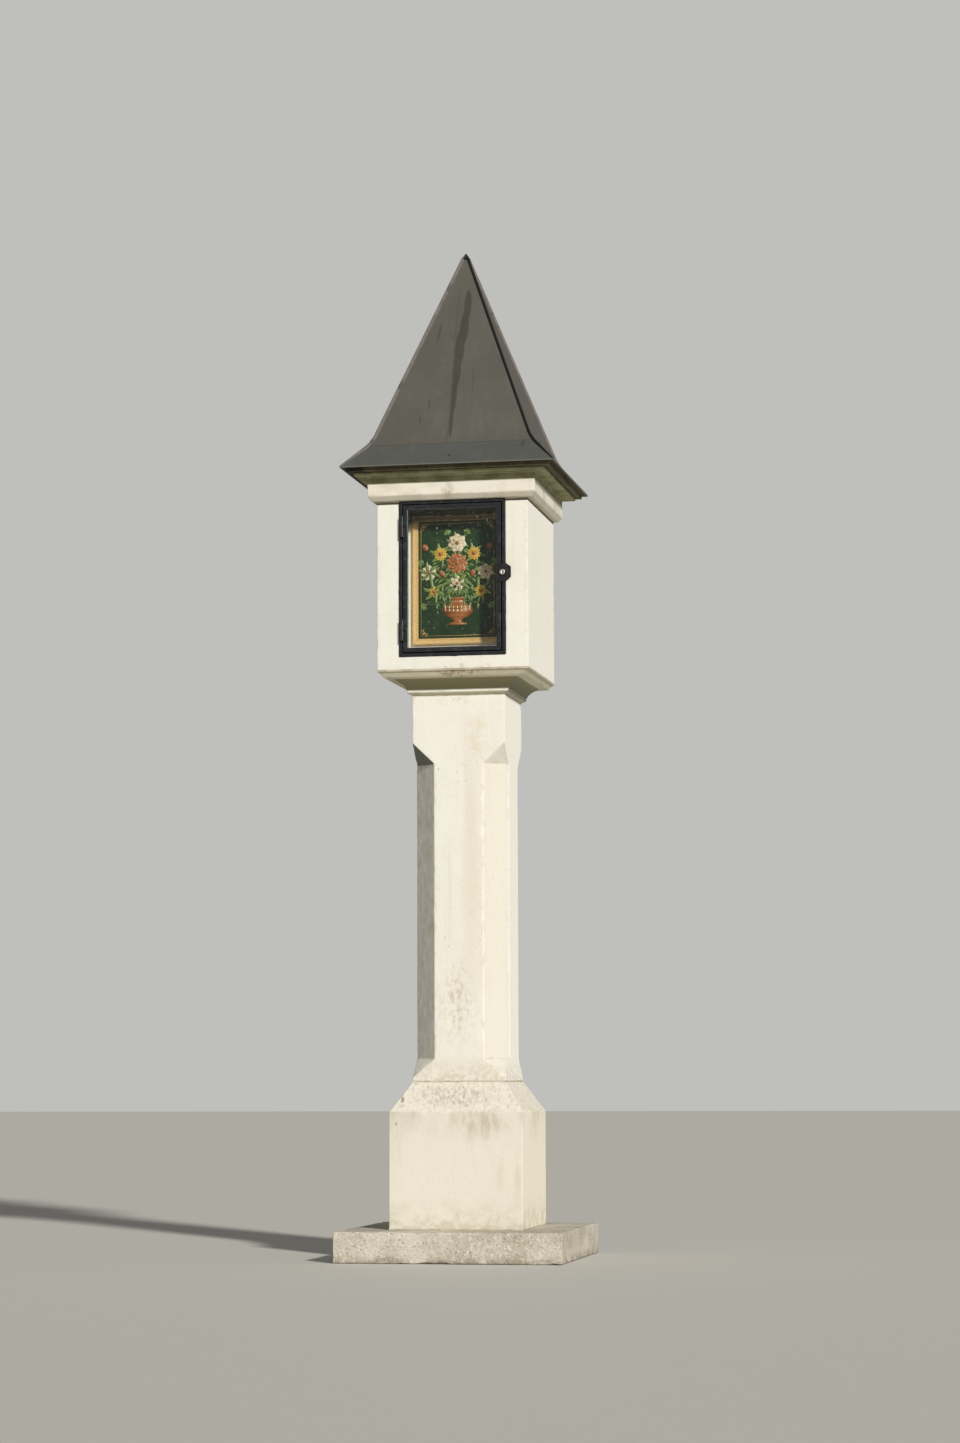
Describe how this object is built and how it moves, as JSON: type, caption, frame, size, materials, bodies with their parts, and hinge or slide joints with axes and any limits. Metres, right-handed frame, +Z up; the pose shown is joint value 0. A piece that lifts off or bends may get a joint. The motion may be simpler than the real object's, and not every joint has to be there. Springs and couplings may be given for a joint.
{
  "type": "wayside shrine",
  "caption": "Pillar wayside shrine: chamfered stone shaft on a plinth, box niche with a hinged glazed steel door, moulded cornice and bell-cast sheet metal roof.",
  "frame": {"origin": "middle of the footing slab's underside, on the ground", "axes": "+Z up, the niche and its door face -Y, +X to the right of someone facing the door"},
  "size_m": [1.03, 1.03, 4.6555],
  "materials": {
    "limewashed_stone": "smooth limewash over stone, weathered at the plinth",
    "concrete": "rough cast concrete",
    "roof_sheet": "matt weathered paint on sheet metal",
    "roof_timber": "weathered boarding",
    "door_steel": "satin anthracite paint on steel",
    "lock_steel": "satin black steel plate",
    "lock_chrome": "polished lock face",
    "glass": "clear float glass",
    "gilt_wood": "gilt ochre moulding",
    "painted_panel": null
  },
  "bodies": {
    "shrine": {"footing_slab": "concrete", "base_block": "limewashed_stone", "shaft": "limewashed_stone", "corbel": "limewashed_stone", "niche_sill": "limewashed_stone", "niche_left_wall": "limewashed_stone", "niche_right_wall": "limewashed_stone", "niche_back_wall": "limewashed_stone", "cornice_bed": "limewashed_stone", "cornice_crown": "limewashed_stone", "eave_board": "roof_timber", "roof_core": "roof_timber", "front_flare_sheet": "roof_sheet", "front_spire_sheet": "roof_sheet", "right_flare_sheet": "roof_sheet", "right_spire_sheet": "roof_sheet", "back_flare_sheet": "roof_sheet", "back_spire_sheet": "roof_sheet", "left_flare_sheet": "roof_sheet", "left_spire_sheet": "roof_sheet", "front_right_hip_seam": "roof_sheet", "back_right_hip_seam": "roof_sheet", "back_left_hip_seam": "roof_sheet", "front_left_hip_seam": "roof_sheet", "apex_cap": "roof_sheet", "door_frame_bottom": "door_steel", "door_frame_top": "door_steel", "door_frame_left": "door_steel", "door_frame_right": "door_steel", "lower_hinge_pin_half": "door_steel", "upper_hinge_pin_half": "door_steel", "picture_frame": "gilt_wood", "picture_panel": "painted_panel"},
    "door": {"leaf_bottom_rail": "door_steel", "leaf_top_rail": "door_steel", "leaf_hinge_stile": "door_steel", "leaf_lock_stile": "door_steel", "glass_pane": "glass", "lower_hinge_leaf_half": "door_steel", "upper_hinge_leaf_half": "door_steel", "lock_plate": "lock_steel", "lock_knob": "lock_chrome"}
  },
  "joints": [
    {"name": "door_hinge", "type": "hinge", "parent": "shrine", "child": "door", "pos_m": [-0.2285, -0.369, 3.07], "axis": [0, 0, -1], "range_deg": [0, 115]}
  ]
}
